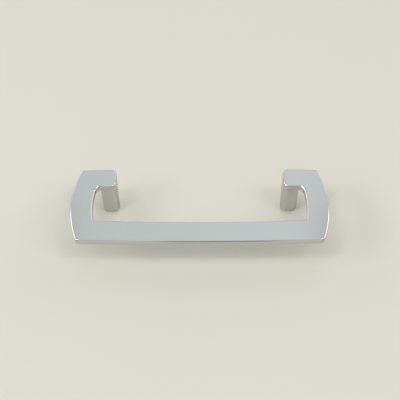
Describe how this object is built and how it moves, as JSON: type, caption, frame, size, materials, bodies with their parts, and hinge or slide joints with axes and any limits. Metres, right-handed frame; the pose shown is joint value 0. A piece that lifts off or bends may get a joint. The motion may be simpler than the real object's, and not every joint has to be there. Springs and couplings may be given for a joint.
{
  "type": "cabinet pull handle",
  "caption": "Polished chrome cabinet pull: a flat C-shaped front plate with bowed ends, carried on tapered legs with tapped holes for screws from behind the cabinet front.",
  "frame": {"origin": "midway between the screw holes, on the mounting plane under the feet", "axes": "+X along the grip bar, +Y from the grip bar towards the tabs and legs, +Z out of the cabinet front"},
  "size_m": [0.1326, 0.045, 0.0236],
  "materials": {
    "chrome_plating": "polished chrome plating on a zinc casting"
  },
  "bodies": {
    "root": {"pull_handle": "chrome_plating"}
  },
  "joints": []
}
